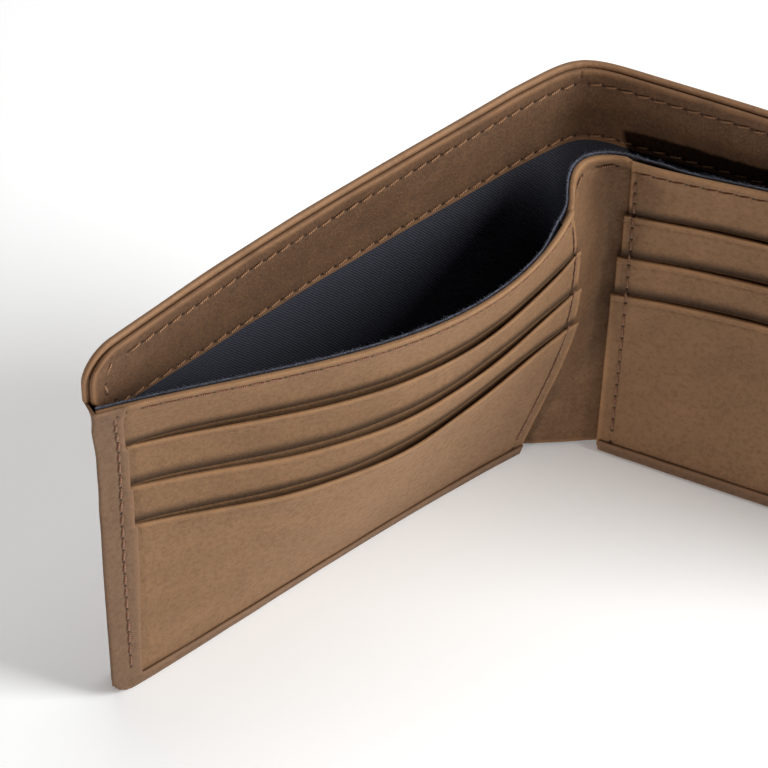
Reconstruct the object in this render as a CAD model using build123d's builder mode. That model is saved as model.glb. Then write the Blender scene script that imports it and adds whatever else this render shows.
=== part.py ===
"""Bifold leather wallet, standing half open on its lower edge.

Millimetres, +Z up. The origin is the foot of the spine, at the middle of the cover's thickness.
+X runs across the wallet towards the right wing, and the inside opens towards -Y.

Each wing has its own plan axes: u runs from the fold to the tip, and n points out of the wing's
inside face. A sheet of leather or cloth is a thin solid ruled between flat sections, and the
sheets of one stack share the same curves, moved along n, so they never cut into each other.
"""

import math
import os
from dataclasses import dataclass

from build123d import *

os.makedirs("parts", exist_ok=True)

# Overall size
COVER_HEIGHT = 95.0
PANEL_HEIGHT = 82.0
BOTTOM_RADIUS = 6.0
TOP_RADIUS = 7.5

# Thickness of each sheet, and the play left between two sheets that lie on each other
COVER_LEATHER = 1.1
STIFFENER_BOARD = 0.3
FACING_LEATHER = 0.6
TWILL = 0.3
BASE_LEATHER = 0.6
POCKET_LEATHER = 0.5
POCKET_CLOTH = 0.2
PLAY = 0.04

# Heights of the pocket mouths, the strips below them and the bands
LOWER_MOUTH = 44.8
MIDDLE_MOUTH = 54.6
UPPER_MOUTH = 65.9
POCKET_STRIP = 20.0
LOWER_START = 0.4
MIDDLE_CLOTH_END = 5.0
UPPER_CLOTH_END = 16.0
BOTTOM_BAND = 3.1
FACING_START = 76.0
FACING_TOP = 94.5
LINING_START = 2.0
GUSSET_START = 1.6
GUSSET_TOP = 81.5

# Shares of a wing's length, from the fold (0) to the tip (1)
SIDE_BAND_SHARE = 0.935
BOTTOM_BAND_SHARES = (0.03, 0.93)
CLOTH_SHARES = (0.06, 0.93)
INNER_SHEET_START = 0.03
POCKET_STEP_SHARE = 0.006

# Thread
STITCH_PITCH = 3.4
STITCH_LENGTH = 2.3
STITCH_WIDTH = 0.5
STITCH_HEIGHT = 0.35
STITCH_CLEARANCE = 0.2
COVER_STITCH_BELOW_TOP = 4.5
FACING_STITCH_ABOVE_EDGE = 1.6
PANEL_STITCH_BELOW_TOP = 2.8
SIDE_STITCH_SHARE = 0.957
SPINE_SIDE_STITCH_SHARE = 0.03

# Where a front sheet's face lies, along n from the face of the card base
LAYER = POCKET_LEATHER + PLAY
BASE_FACE = 0.0
UPPER_FACE = LAYER
MIDDLE_FACE = 2 * LAYER
LOWER_FACE = 3 * LAYER
BAND_FACE = 4 * LAYER

# Where an inner sheet starts, along n from the outside of the cover
STIFFENER_BACK = COVER_LEATHER + PLAY
LINING_BACK = STIFFENER_BACK + STIFFENER_BOARD + PLAY

LEVELS = (0.0, 45.0, 66.0, 82.0, 95.0)

# Where a wing's cover starts, and where the spine's sheets end, along u from the fold. The gap
# between them is what lets the wing close
COVER_START = 1.9
SPINE_END = -2.5


def between(low, high, share):
    """The value a share of the way from low to high, for numbers or for points."""
    if isinstance(low, tuple):
        return tuple(between(a, b, share) for a, b in zip(low, high))
    return low + (high - low) * share


def at_height(levels, z):
    """The entry of levels, {height: value}, at height z, in a straight line between its heights."""
    heights = sorted(levels)
    for low, high in zip(heights, heights[1:]):
        if z <= high:
            return between(levels[low], levels[high], (z - low) / (high - low))
    return levels[heights[-1]]


def split_curve(points, share):
    """The two Bezier curves that a Bezier curve is cut into at a share of its parameter."""
    first, second = [], []
    while points:
        first.append(points[0])
        second.insert(0, points[-1])
        points = [between(a, b, share) for a, b in zip(points, points[1:])]
    return first, second


def part_of_curve(points, start, end):
    """The stretch of a Bezier curve from one share of its parameter to another."""
    points = split_curve(points, end)[0]
    return split_curve(points, start / end)[1]


def curve_point(points, share):
    """A point of a Bezier curve, and the angle in degrees of its direction there."""
    first, second = split_curve(points, share)
    here, ahead = (second[0], second[1]) if share < 1 else (first[-2], first[-1])
    angle = math.degrees(math.atan2(ahead[1] - here[1], ahead[0] - here[0]))
    return first[-1], angle


@dataclass
class Wing:
    """One half of the wallet. fold is the plan point where its front leaves the spine, and swing
    is how far its straight foot turns forward of the X axis. front and cover give, at each height,
    (u at the fold, u at the tip, n of the curve's evenly spaced controls): front for the card
    base's face, and cover for the outside of the cover."""

    name: str
    hand: int
    fold: tuple
    swing: float
    front: dict
    cover: dict

    def __post_init__(self):
        angle = math.radians(self.swing)
        self.along = (self.hand * math.cos(angle), -math.sin(angle))
        self.outward = (-self.hand * math.sin(angle), -math.cos(angle))

    def place(self, u, n):
        """The plan point at u and n."""
        return tuple(
            f + u * a + n * o for f, a, o in zip(self.fold, self.along, self.outward)
        )

    def curve(self, levels, z, n_shift, start=0.0, end=1.0):
        """The plan curve of a sheet's face at height z, as Bezier controls."""
        first, last, controls = at_height(levels, z)
        steps = len(controls) - 1
        points = [
            self.place(between(first, last, i / steps), n + n_shift)
            for i, n in enumerate(controls)
        ]
        return part_of_curve(points, start, end)

    def outline(self):
        """The wing's side view as a prism through it, with both corners at the tip rounded."""
        tip_low = self.cover[0.0][1]
        tip_high = self.cover[COVER_HEIGHT][1]
        x_dir = Vector(*self.along, 0)
        side_view = Plane((*self.fold, 0), x_dir=x_dir, z_dir=x_dir.cross(Vector(0, 0, 1)))
        with BuildPart(mode=Mode.PRIVATE) as prism:
            with BuildSketch(side_view):
                with BuildLine():
                    foot = Line((-30, 0), (tip_low - BOTTOM_RADIUS, 0))
                    low = RadiusArc(foot @ 1, (tip_low, BOTTOM_RADIUS), -BOTTOM_RADIUS)
                    tip = Line(low @ 1, (tip_high, COVER_HEIGHT - TOP_RADIUS))
                    high_end = (tip_high - TOP_RADIUS, COVER_HEIGHT)
                    high = RadiusArc(tip @ 1, high_end, -TOP_RADIUS)
                    Polyline(high @ 1, (-30, COVER_HEIGHT), (-30, 0))
                make_face()
            extrude(amount=60, both=True)
        return prism.part


LEFT = Wing(
    name="left",
    hand=-1,
    fold=(-8.1, -7.7),
    swing=31.45,
    front={
        0.0: (0.3, 104.5, (-2.2, -2.2, -2.2, -2.2, -2.2, -2.2)),
        45.0: (-3.0, 104.5, (8.7, 9.7, 17.1, 21.7, -0.6, -1.5)),
        66.0: (-2.6, 104.6, (10.2, 16.2, 24.3, 17.0, 0.6, -0.6)),
        82.0: (2.2, 103.5, (12.6, 27.5, 27.8, 18.9, 8.9, 1.9)),
    },
    cover={
        0.0: (COVER_START, 104.6, (-5.3, -5.3, -5.3, -5.3, -5.3, -5.3)),
        45.0: (COVER_START, 104.8, (-7.2, -7.0, -6.8, -6.2, -5.0, -4.6)),
        66.0: (COVER_START, 105.3, (-8.0, -7.4, -7.2, -6.2, -4.3, -3.7)),
        82.0: (COVER_START, 106.2, (-8.7, -8.0, -7.4, -6.2, -2.6, -1.1)),
        95.0: (COVER_START, 107.5, (-9.1, -7.8, -7.2, -5.6, -1.6, 0.8)),
    },
)

RIGHT = Wing(
    name="right",
    hand=1,
    fold=(6.2, -8.1),
    swing=29.9,
    front={
        0.0: (0.3, 104.5, (-2.2, -2.2, -2.2, -2.2, -2.2, -2.2)),
        45.0: (0.3, 104.5, (-2.2, -7.2, -9.5, -7.8, -2.6, -2.2)),
        66.0: (0.3, 104.5, (-2.0, -5.8, -10.4, -7.2, -2.5, -2.0)),
        82.0: (0.9, 103.9, (0.0, 0.9, -7.7, -5.2, -2.2, -1.6)),
    },
    cover={
        0.0: (COVER_START, 104.6, (-5.3, -5.3, -5.3, -5.3, -5.3, -5.3)),
        45.0: (COVER_START, 104.8, (-11.3, -12.4, -13.8, -12.0, -6.8, -5.3)),
        66.0: (COVER_START, 105.1, (-11.4, -12.0, -14.4, -11.6, -6.8, -5.1)),
        82.0: (COVER_START, 105.4, (-11.4, -11.6, -12.8, -10.4, -6.2, -4.7)),
        95.0: (COVER_START, 105.8, (-11.4, -11.4, -11.6, -9.4, -5.0, -3.2)),
    },
)

# The spine's sheets turn the corner on handles of this length
CORNER_HANDLE_FOOT = 6.8
CORNER_HANDLE_TOP = 10.6
SPINE_INNER_SHARES = (0.14, 0.86)

# The centre gusset hangs behind the fold edges of both fronts. It leaves them in line with them,
# for the length of an arm, and these are the two controls of its middle
GUSSET_SHARE = 0.016
GUSSET_CLEARANCE = 0.45
GUSSET_ARM = 3.0
GUSSET_LEATHER = 0.6
GUSSET_MIDDLE = {
    0.0: ((-5.0, -6.9), (3.0, -7.1)),
    45.0: ((0.7, -11.6), (4.3, -3.0)),
    66.0: ((0.4, -12.5), (4.0, -2.8)),
    82.0: ((-3.4, -7.6), (-1.5, -5.8)),
}


def spine_curve(z, y_shift, start=0.0, end=1.0):
    """The spine's plan curve at height z: it carries on from both covers and turns the corner."""
    handle = between(CORNER_HANDLE_FOOT, CORNER_HANDLE_TOP, z / COVER_HEIGHT)
    ends = [w.place(SPINE_END, at_height(w.cover, z)[2][0]) for w in (LEFT, RIGHT)]
    arms = [
        (p[0] - w.along[0] * handle, p[1] - w.along[1] * handle)
        for p, w in zip(ends, (LEFT, RIGHT))
    ]
    points = [(x, y + y_shift) for x, y in (ends[0], arms[0], arms[1], ends[1])]
    return part_of_curve(points, start, end)


def gusset_curve(z, shift):
    """The gusset's plan curve at height z, moved back by shift, away from the inside."""
    behind = -(BASE_LEATHER + TWILL + PLAY + GUSSET_CLEARANCE)
    ends, arms = [], []
    for wing in (LEFT, RIGHT):
        (x, y), angle = curve_point(wing.curve(wing.front, z, behind), GUSSET_SHARE)
        reach = -GUSSET_ARM * Vector(1, 0).rotate(Axis.Z, angle)
        ends.append((x, y))
        arms.append((x + reach.X, y + reach.Y))
    points = [ends[0], arms[0], *at_height(GUSSET_MIDDLE, z), arms[1], ends[1]]
    return [(x - shift, y + shift) for x, y in points]


def sheet(face_curve, back, front, z_low, z_high):
    """A thin curved sheet. face_curve(z, shift) is its plan curve, and back and front are the
    shifts of its two faces."""
    heights = [z_low, *(z for z in LEVELS if z_low < z < z_high), z_high]
    sections = []
    for z in heights:
        rear, fore = face_curve(z, back), face_curve(z, front)
        with BuildSketch(Plane.XY.offset(z)) as section:
            with BuildLine():
                Bezier(*rear)
                Line(rear[-1], fore[-1])
                Bezier(*fore[::-1])
                Line(fore[0], rear[0])
            make_face()
        sections.append(section.sketch)
    loft(sections, ruled=True)


def front_sheet(wing, face, thickness, z_low, z_high, shares=(0.0, 1.0)):
    """A sheet of a wing's front stack, with its inside face at face."""

    def face_curve(z, shift):
        return wing.curve(wing.front, z, shift, *shares)

    sheet(face_curve, face - thickness, face, z_low, z_high)
    if z_low < BOTTOM_RADIUS and shares[1] == 1.0:
        add(wing.tip_outline, mode=Mode.INTERSECT)


def cover_sheet(wing, back, thickness, z_low, z_high, start=0.0):
    """A sheet of a wing's back stack, which starts at back inside the cover's outside face."""

    def face_curve(z, shift):
        return wing.curve(wing.cover, z, shift, start)

    sheet(face_curve, back, back + thickness, z_low, z_high)
    add(wing.tip_outline, mode=Mode.INTERSECT)


def stitch_row(face_curve, z, start=0.0, end=1.0):
    """A level row of stitches along a plan curve, all of them on the sheet's face at height z."""
    curve = face_curve(z, STITCH_CLEARANCE + STITCH_HEIGHT / 2)
    length = math.dist(curve[0], curve[-1]) * (end - start)
    count = round(length / STITCH_PITCH)
    places = []
    for i in range(count):
        (x, y), angle = curve_point(curve, between(start, end, (i + 0.5) / count))
        places.append(Location((x, y, z), (0, 0, angle)))
    with Locations(*places):
        Box(STITCH_LENGTH, STITCH_HEIGHT, STITCH_WIDTH)


def stitch_column(wing, share, faces, z_low, z_high):
    """An upright column of stitches on a wing's front. faces gives the face at the foot, and the
    faces that follow above each height."""
    count = int((z_high - z_low) / STITCH_PITCH)
    places = []
    for i in range(count):
        z = z_low + (i + 0.5) * STITCH_PITCH
        face = [f for low, f in faces if z - STITCH_LENGTH / 2 > low][-1]
        face += STITCH_CLEARANCE + STITCH_HEIGHT / 2
        (x, y), angle = curve_point(wing.curve(wing.front, z, face), share)
        above = curve_point(wing.curve(wing.front, z + 1, face), share)[0]
        below = curve_point(wing.curve(wing.front, z - 1, face), share)[0]
        upright = Vector(above[0] - below[0], above[1] - below[1], 2)
        level = Vector(1, 0, 0).rotate(Axis.Z, angle)
        places.append(Plane((x, y, z), x_dir=upright, z_dir=upright.cross(level)).location)
    with Locations(*places):
        Box(STITCH_LENGTH, STITCH_WIDTH, STITCH_HEIGHT)


def finish(builder, name):
    """Labels a finished sub-part and writes it."""
    builder.part.label = name
    export_step(builder.part, f"parts/{name}.step")


# ---- Spine ----

with BuildPart() as spine_cover:
    sheet(spine_curve, -COVER_LEATHER, 0, 0, COVER_HEIGHT)
finish(spine_cover, "spine_cover")


def inner_spine_curve(z, y_shift):
    return spine_curve(z, y_shift, *SPINE_INNER_SHARES)


with BuildPart() as spine_lining:
    sheet(inner_spine_curve, -LINING_BACK - TWILL, -LINING_BACK, LINING_START, FACING_START - PLAY)
finish(spine_lining, "spine_lining")

with BuildPart() as spine_facing:
    sheet(inner_spine_curve, -LINING_BACK - FACING_LEATHER, -LINING_BACK, FACING_START, FACING_TOP)
finish(spine_facing, "spine_facing")

with BuildPart() as centre_gusset:
    sheet(gusset_curve, GUSSET_LEATHER, 0, GUSSET_START, GUSSET_TOP)
finish(centre_gusset, "centre_gusset")

with BuildPart() as gusset_lining:
    lining_back = GUSSET_LEATHER + PLAY
    sheet(gusset_curve, lining_back + TWILL, lining_back, GUSSET_START + 2, GUSSET_TOP)
finish(gusset_lining, "gusset_lining")


def spine_thread_curve(z, clearance):
    return inner_spine_curve(z, -LINING_BACK - FACING_LEATHER - clearance)


def gusset_thread_curve(z, clearance):
    return gusset_curve(z, -clearance)


with BuildPart() as spine_stitches:
    stitch_row(spine_thread_curve, COVER_HEIGHT - COVER_STITCH_BELOW_TOP, 0.04, 0.96)
    stitch_row(spine_thread_curve, FACING_START + FACING_STITCH_ABOVE_EDGE, 0.04, 0.96)
finish(spine_stitches, "spine_stitches")

with BuildPart() as gusset_stitches:
    stitch_row(gusset_thread_curve, PANEL_HEIGHT - PANEL_STITCH_BELOW_TOP, 0.15, 0.85)
finish(gusset_stitches, "gusset_stitches")

# ---- Wings ----

for wing in (LEFT, RIGHT):
    wing.tip_outline = wing.outline()

    with BuildPart() as cover:
        cover_sheet(wing, 0, COVER_LEATHER, 0, COVER_HEIGHT)
    finish(cover, f"{wing.name}_cover")

    with BuildPart() as stiffener:
        cover_sheet(wing, STIFFENER_BACK, STIFFENER_BOARD, 1.5, COVER_HEIGHT - 1.5, INNER_SHEET_START)
    finish(stiffener, f"{wing.name}_stiffener")

    with BuildPart() as back_lining:
        lining_top = FACING_START - PLAY
        cover_sheet(wing, LINING_BACK, TWILL, LINING_START, lining_top, INNER_SHEET_START)
    finish(back_lining, f"{wing.name}_back_lining")

    with BuildPart() as facing:
        cover_sheet(wing, LINING_BACK, FACING_LEATHER, FACING_START, FACING_TOP, INNER_SHEET_START)
    finish(facing, f"{wing.name}_facing")

    with BuildPart() as front_lining:
        front_sheet(wing, -BASE_LEATHER - PLAY, TWILL - PLAY, LINING_START, PANEL_HEIGHT + 0.3)
    finish(front_lining, f"{wing.name}_front_lining")

    with BuildPart() as card_base:
        front_sheet(wing, BASE_FACE, BASE_LEATHER, 0, PANEL_HEIGHT)
    finish(card_base, f"{wing.name}_card_base")

    with BuildPart() as pocket_upper:
        shares = (2 * POCKET_STEP_SHARE, 0.985)
        front_sheet(wing, UPPER_FACE, POCKET_LEATHER, UPPER_MOUTH - POCKET_STRIP, UPPER_MOUTH, shares)
    finish(pocket_upper, f"{wing.name}_pocket_upper")

    with BuildPart() as pocket_middle:
        shares = (POCKET_STEP_SHARE, 0.985)
        strip_start = MIDDLE_MOUTH - POCKET_STRIP
        front_sheet(wing, MIDDLE_FACE, POCKET_LEATHER, strip_start, MIDDLE_MOUTH, shares)
    finish(pocket_middle, f"{wing.name}_pocket_middle")

    with BuildPart() as pocket_lower:
        front_sheet(wing, LOWER_FACE, POCKET_LEATHER, LOWER_START, LOWER_MOUTH)
    finish(pocket_lower, f"{wing.name}_pocket_lower")

    with BuildPart() as pocket_cloths:
        upper_face = UPPER_FACE - (POCKET_LEATHER - POCKET_CLOTH) / 2
        middle_face = MIDDLE_FACE - (POCKET_LEATHER - POCKET_CLOTH) / 2
        upper_top = UPPER_MOUTH - POCKET_STRIP - PLAY
        middle_top = MIDDLE_MOUTH - POCKET_STRIP - PLAY
        front_sheet(wing, upper_face, POCKET_CLOTH, UPPER_CLOTH_END, upper_top, CLOTH_SHARES)
        front_sheet(wing, middle_face, POCKET_CLOTH, MIDDLE_CLOTH_END, middle_top, CLOTH_SHARES)
    finish(pocket_cloths, f"{wing.name}_pocket_cloths")

    with BuildPart() as side_band:
        front_sheet(wing, BAND_FACE, POCKET_LEATHER, 0, PANEL_HEIGHT, (SIDE_BAND_SHARE, 1.0))
    finish(side_band, f"{wing.name}_side_band")

    with BuildPart() as bottom_band:
        front_sheet(wing, BAND_FACE, POCKET_LEATHER, 0, BOTTOM_BAND, BOTTOM_BAND_SHARES)
    finish(bottom_band, f"{wing.name}_bottom_band")

    def facing_thread_curve(z, clearance):
        return wing.curve(wing.cover, z, LINING_BACK + FACING_LEATHER + clearance)

    def panel_thread_curve(z, clearance):
        return wing.curve(wing.front, z, BASE_FACE + clearance)

    with BuildPart() as cover_stitches:
        stitch_row(facing_thread_curve, COVER_HEIGHT - COVER_STITCH_BELOW_TOP, 0.035, 0.955)
    finish(cover_stitches, f"{wing.name}_cover_stitches")

    with BuildPart() as facing_stitches:
        stitch_row(facing_thread_curve, FACING_START + FACING_STITCH_ABOVE_EDGE, 0.035, 0.9)
    finish(facing_stitches, f"{wing.name}_facing_stitches")

    with BuildPart() as panel_stitches:
        stitch_row(panel_thread_curve, PANEL_HEIGHT - PANEL_STITCH_BELOW_TOP, 0.02, 0.92)
    finish(panel_stitches, f"{wing.name}_panel_stitches")

    with BuildPart() as side_stitches:
        stitch_column(wing, SIDE_STITCH_SHARE, [(0, BAND_FACE)], 5.0, PANEL_HEIGHT - 1.5)
    finish(side_stitches, f"{wing.name}_side_stitches")

    with BuildPart() as fold_stitches:
        faces = [
            (0, LOWER_FACE),
            (LOWER_MOUTH, MIDDLE_FACE),
            (MIDDLE_MOUTH, UPPER_FACE),
            (UPPER_MOUTH, BASE_FACE),
        ]
        stitch_column(wing, SPINE_SIDE_STITCH_SHARE, faces, BOTTOM_BAND + 0.6, PANEL_HEIGHT - 4)
    finish(fold_stitches, f"{wing.name}_fold_stitches")
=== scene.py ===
"""The looks of a half-open bifold leather wallet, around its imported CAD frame.

Lengths are millimetres until a mesh is made, and every place is in the CAD's own frame: +Z up, the
origin at the foot of the spine, the inside open towards -Y. Each wing has plan axes u, from its
fold to its tip, and n, out of its inside face. A sheet of leather or cloth follows a guide surface
and is placed on it by its distance along, its height and its offset from the surface.
"""
import math

import bpy
import numpy as np
from mathutils import Matrix, Vector


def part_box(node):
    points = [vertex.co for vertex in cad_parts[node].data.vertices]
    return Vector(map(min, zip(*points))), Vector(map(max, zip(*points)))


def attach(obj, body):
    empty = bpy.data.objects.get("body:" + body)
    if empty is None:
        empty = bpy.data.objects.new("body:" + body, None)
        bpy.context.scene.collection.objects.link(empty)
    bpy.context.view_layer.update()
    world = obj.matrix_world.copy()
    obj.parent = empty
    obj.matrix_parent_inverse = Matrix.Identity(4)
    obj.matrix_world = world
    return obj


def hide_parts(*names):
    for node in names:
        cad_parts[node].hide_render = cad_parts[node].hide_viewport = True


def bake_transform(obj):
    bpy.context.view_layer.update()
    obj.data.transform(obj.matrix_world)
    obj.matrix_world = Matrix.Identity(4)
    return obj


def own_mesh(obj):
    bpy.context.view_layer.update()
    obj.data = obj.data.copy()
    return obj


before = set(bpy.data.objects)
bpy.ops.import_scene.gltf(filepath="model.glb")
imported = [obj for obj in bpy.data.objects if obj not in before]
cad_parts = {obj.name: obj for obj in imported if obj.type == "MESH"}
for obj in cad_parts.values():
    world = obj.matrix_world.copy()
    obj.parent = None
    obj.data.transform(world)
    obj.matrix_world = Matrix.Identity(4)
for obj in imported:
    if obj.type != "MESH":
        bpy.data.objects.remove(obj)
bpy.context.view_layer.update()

MM = 0.001
RANDOM = np.random.default_rng(7)

# ---- Sizes, as in the CAD ----

COVER_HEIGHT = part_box("left_cover")[1].z / MM
PANEL_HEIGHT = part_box("left_card_base")[1].z / MM
BOTTOM_RADIUS = 6.0
TOP_RADIUS = 7.5
LOWER_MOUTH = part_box("left_pocket_lower")[1].z / MM
MIDDLE_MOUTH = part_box("left_pocket_middle")[1].z / MM
UPPER_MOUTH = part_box("left_pocket_upper")[1].z / MM
MOUTHS = (UPPER_MOUTH, MIDDLE_MOUTH, LOWER_MOUTH)
POCKET_STRIP = 20.0
BOTTOM_BAND = 3.1
FACING_START = 76.0
RIM_INSET = 0.9

# Offsets of the faces of each sheet, from the outside of the cover and from the card panel's face
COVER = (0.0, 1.25)
BOARD = (1.28, 1.42)
LINING = (1.5, 1.8)
FACING = (1.5, 2.15)
PANEL_LINING = (-0.95, -0.65)
PANEL = (-0.6, 0.0)
UPPER_POCKET = (0.04, 0.5)
MIDDLE_POCKET = (0.56, 1.02)
LOWER_POCKET = (1.08, 1.56)
TURNED_EDGE_HALF = 0.27
TURNED_EDGE_CLEAR = 0.12
TURNED_EDGE_RADIUS = 4.6
TURN_BULGE = 0.75
TIP_BULGE = 0.3

# Thread
PITCH = 3.3
STITCH_LENGTH = 2.65
STITCH_RADIUS = 0.25
RIM_STITCH_Z = COVER_HEIGHT - 4.5
PANEL_STITCH_Z = PANEL_HEIGHT - 2.8
SIDE_STITCH_INSET = 4.2
FOLD_STITCH_INSET = 3.1
FACING_STITCH_Z = FACING_START + 1.4


# ---- Guide surfaces ----

def smooth_levels(levels):
    """A function of height that passes smoothly through levels, {height: row of numbers}, and
    carries straight on above the highest."""
    heights = np.array(sorted(levels))
    rows = np.array([np.ravel([*levels[z][:2], *levels[z][2]]) for z in heights])
    secants = np.diff(rows, axis=0) / np.diff(heights)[:, None]
    slopes = np.vstack([secants[:1], (secants[:-1] + secants[1:]) / 2, secants[-1:]])

    def at(z):
        i = int(np.clip(np.searchsorted(heights, z) - 1, 0, len(heights) - 2))
        span = heights[i + 1] - heights[i]
        t = (z - heights[i]) / span
        if t > 1:
            return rows[-1] + slopes[-1] * (z - heights[-1])
        h00, h10 = 2 * t**3 - 3 * t**2 + 1, t**3 - 2 * t**2 + t
        h01, h11 = 3 * t**2 - 2 * t**3, t**3 - t**2
        return h00 * rows[i] + h10 * span * slopes[i] + h01 * rows[i + 1] + h11 * span * slopes[i + 1]

    return at


def bezier(controls, t):
    """Points of a Bezier curve. controls are numbers or points, and t is an array."""
    controls = np.asarray(controls, float)
    n = len(controls) - 1
    weights = [math.comb(n, i) * t**i * (1 - t) ** (n - i) for i in range(n + 1)]
    if controls.ndim == 1:
        return sum(w * c for w, c in zip(weights, controls))
    return sum(w[:, None] * c for w, c in zip(weights, controls))


class Wing:
    """One half of the wallet: its fold point, its swing forward of the X axis, and its levels."""

    def __init__(self, name, hand, fold, swing, front, cover):
        angle = math.radians(swing)
        self.name, self.hand, self.fold = name, hand, np.array(fold)
        self.along = np.array([hand * math.cos(angle), -math.sin(angle)])
        self.outward = np.array([-hand * math.sin(angle), -math.cos(angle)])
        self.front_at, self.cover_at = smooth_levels(front), smooth_levels(cover)

    def place(self, u, n):
        """Plan points at u and n."""
        return self.fold + np.outer(u, self.along) + np.outer(n, self.outward)

    def plan(self, level_at, z, n_shift=0.0, start=0.0, end=1.0):
        """The wing's plan curve at height z, as points from start to end."""
        first, last, *controls = level_at(z)
        t = np.linspace(start, end, 300)
        return self.place(first + (last - first) * t, bezier(controls, t) + n_shift)


LEFT = Wing(
    "left", -1, (-8.1, -7.7), 31.45,
    front={
        0.0: (0.3, 104.5, (-2.4, -3.4, -2.6, -2.2, 0.8, 0.6)),
        45.0: (-3.0, 104.5, (8.7, 9.7, 17.1, 21.7, -0.3, -1.1)),
        66.0: (-2.6, 104.6, (10.2, 16.2, 24.3, 17.0, 0.6, -0.6)),
        82.0: (2.2, 107.5, (12.6, 27.5, 27.8, 18.9, 9.0, 2.6)),
    },
    cover={
        0.0: (1.9, 104.6, (-5.3, -5.5, -5.4, -5.0, -3.6, -3.4)),
        45.0: (1.9, 104.8, (-7.2, -7.0, -6.8, -6.2, -4.8, -4.4)),
        66.0: (1.9, 105.3, (-8.0, -7.4, -7.2, -6.2, -4.3, -3.7)),
        82.0: (1.9, 107.0, (-8.7, -8.0, -7.4, -6.2, -2.6, -1.1)),
        95.0: (1.9, 108.3, (-9.1, -7.8, -7.2, -6.2, -2.8, 0.5)),
    },
)

RIGHT = Wing(
    "right", 1, (6.2, -8.1), 29.9,
    front={
        0.0: (0.3, 104.5, (-2.2, -1.7, -1.5, -1.6, -2.0, -2.0)),
        45.0: (0.3, 104.5, (-2.2, -7.2, -9.5, -7.8, -2.6, -2.2)),
        66.0: (0.3, 104.5, (-2.0, -5.8, -10.4, -7.2, -2.5, -2.0)),
        82.0: (0.9, 103.9, (0.0, 0.9, -7.7, -5.2, -2.2, -1.6)),
    },
    cover={
        0.0: (1.9, 104.6, (-5.3, -5.3, -5.3, -5.3, -5.3, -5.3)),
        45.0: (1.9, 104.8, (-11.3, -12.4, -13.8, -12.0, -6.8, -5.3)),
        66.0: (1.9, 105.1, (-11.4, -12.0, -14.4, -11.6, -6.8, -5.1)),
        82.0: (1.9, 105.4, (-11.4, -11.6, -12.8, -10.4, -6.2, -4.7)),
        95.0: (1.9, 105.8, (-11.4, -11.4, -11.6, -9.4, -5.0, -3.2)),
    },
)

SPINE_END = -2.5
CORNER_HANDLES = (6.8, 10.6)

# The centre gusset's two middle controls at each height, and how it tucks behind both fronts
gusset_middle_at = smooth_levels({
    0.0: (-5.0, -6.9, (3.0, -7.1)),
    45.0: (0.7, -11.6, (4.3, -3.0)),
    66.0: (0.4, -12.5, (4.0, -2.8)),
    82.0: (-3.4, -7.6, (-1.5, -5.8)),
})
GUSSET_SHARE = 0.016
GUSSET_FLANGE_SHARE = 0.05
GUSSET_BEHIND = -0.66
GUSSET_ARM = 3.0

# Points along the guide surfaces
BACK_COLUMNS, FRONT_COLUMNS, GUSSET_COLUMNS = 1600, 900, 400


def evened(line, count):
    """A polyline as count points, evenly spaced."""
    far = np.concatenate([[0], np.cumsum(np.hypot(*np.diff(line, axis=0).T))])
    wanted = np.linspace(0, far[-1], count)
    return np.stack([np.interp(wanted, far, line[:, i]) for i in (0, 1)], axis=1)


def softened(pieces, count, passes):
    """Curves joined into one even polyline, with its joints smoothed."""
    line = evened(np.vstack(pieces), count)
    for _ in range(passes):
        line[1:-1] = (line[:-2] + 2 * line[1:-1] + line[2:]) / 4
    return line


def back_plan(z):
    """The cover's outside at height z, from the left tip round the spine to the right tip."""
    handle = CORNER_HANDLES[0] + (CORNER_HANDLES[1] - CORNER_HANDLES[0]) * z / COVER_HEIGHT
    wings = [w.plan(w.cover_at, z) for w in (LEFT, RIGHT)]
    ends = [w.place([SPINE_END], [w.cover_at(z)[2]])[0] for w in (LEFT, RIGHT)]
    arms = [e - w.along * handle for e, w in zip(ends, (LEFT, RIGHT))]
    spine = bezier([ends[0], arms[0], arms[1], ends[1]], np.linspace(0, 1, 120))
    return softened([wings[0][::-1], spine, wings[1]], BACK_COLUMNS, 60)


def gusset_plan(z):
    """The gusset's face at height z, from behind the left front's fold edge to behind the right's."""
    shares = GUSSET_FLANGE_SHARE, GUSSET_SHARE
    flanges = [w.plan(w.front_at, z, GUSSET_BEHIND, *shares) for w in (LEFT, RIGHT)]
    arms = []
    for flange in flanges:
        ahead = flange[-1] - flange[-2]
        arms.append(flange[-1] + ahead / np.linalg.norm(ahead) * GUSSET_ARM)
    middle = gusset_middle_at(z).reshape(2, 2)
    controls = [flanges[0][-1], arms[0], *middle, arms[1], flanges[1][-1]]
    channel = bezier(controls, np.linspace(0, 1, 160))
    return softened([flanges[0], channel, flanges[1][::-1]], GUSSET_COLUMNS, 12)


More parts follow.
